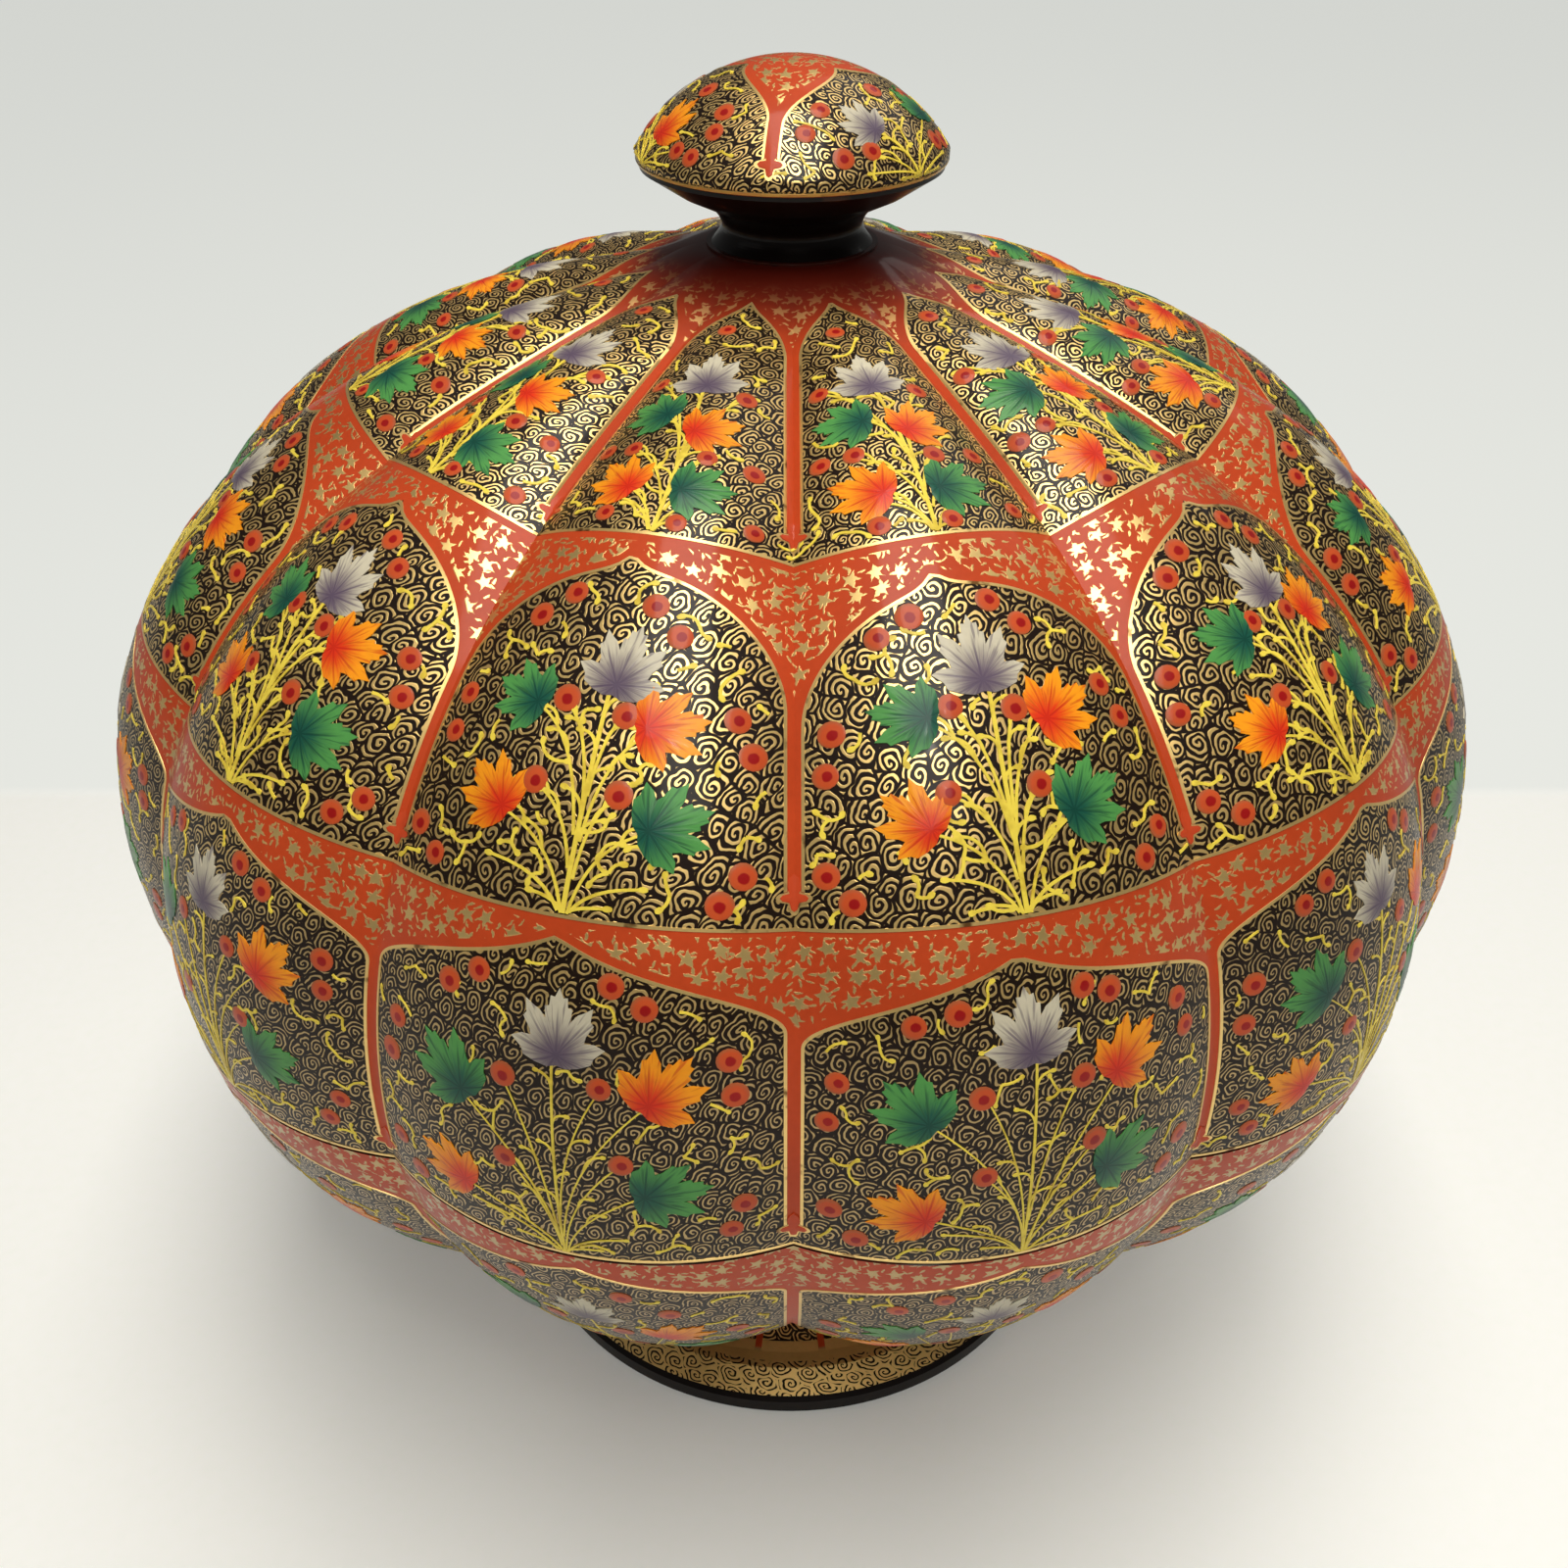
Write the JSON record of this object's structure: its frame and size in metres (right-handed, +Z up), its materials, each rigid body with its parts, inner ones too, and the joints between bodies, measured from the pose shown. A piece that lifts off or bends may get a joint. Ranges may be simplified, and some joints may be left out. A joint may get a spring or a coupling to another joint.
{
  "type": "lidded box",
  "caption": "Lobed, pumpkin-shaped papier-mache box on a flared foot, with a lift-off lid, a locating collar and a mushroom knob, painted with leaves and gold scrolls.",
  "frame": {"origin": "centre of the underside of the foot's base board", "axes": "+Z up along the body's axis; a valley between two lobes faces -Y"},
  "size_m": [0.2942, 0.2942, 0.3105],
  "materials": {
    "painted_lacquer": "papier-mache painted in red, black and gold under a glossy clear lacquer",
    "gold_lacquer": "papier-mache painted a plain dull gold",
    "black_lacquer": "wood under glossy black lacquer",
    "bare_wood": "plain turned wood"
  },
  "bodies": {
    "bowl": {"base_board": "black_lacquer", "foot": "painted_lacquer", "bowl_shell": "painted_lacquer", "bowl_collar": "gold_lacquer"},
    "lid": {"lid_shell": "painted_lacquer", "crown_washer": "gold_lacquer", "knob_dowel": "bare_wood", "knob_stem": "black_lacquer", "knob_cap": "painted_lacquer"}
  },
  "joints": [
    {"name": "lid_lift", "type": "slide", "parent": "bowl", "child": "lid", "axis": [0, 0, 1], "range_m": [0, 0.15]}
  ]
}
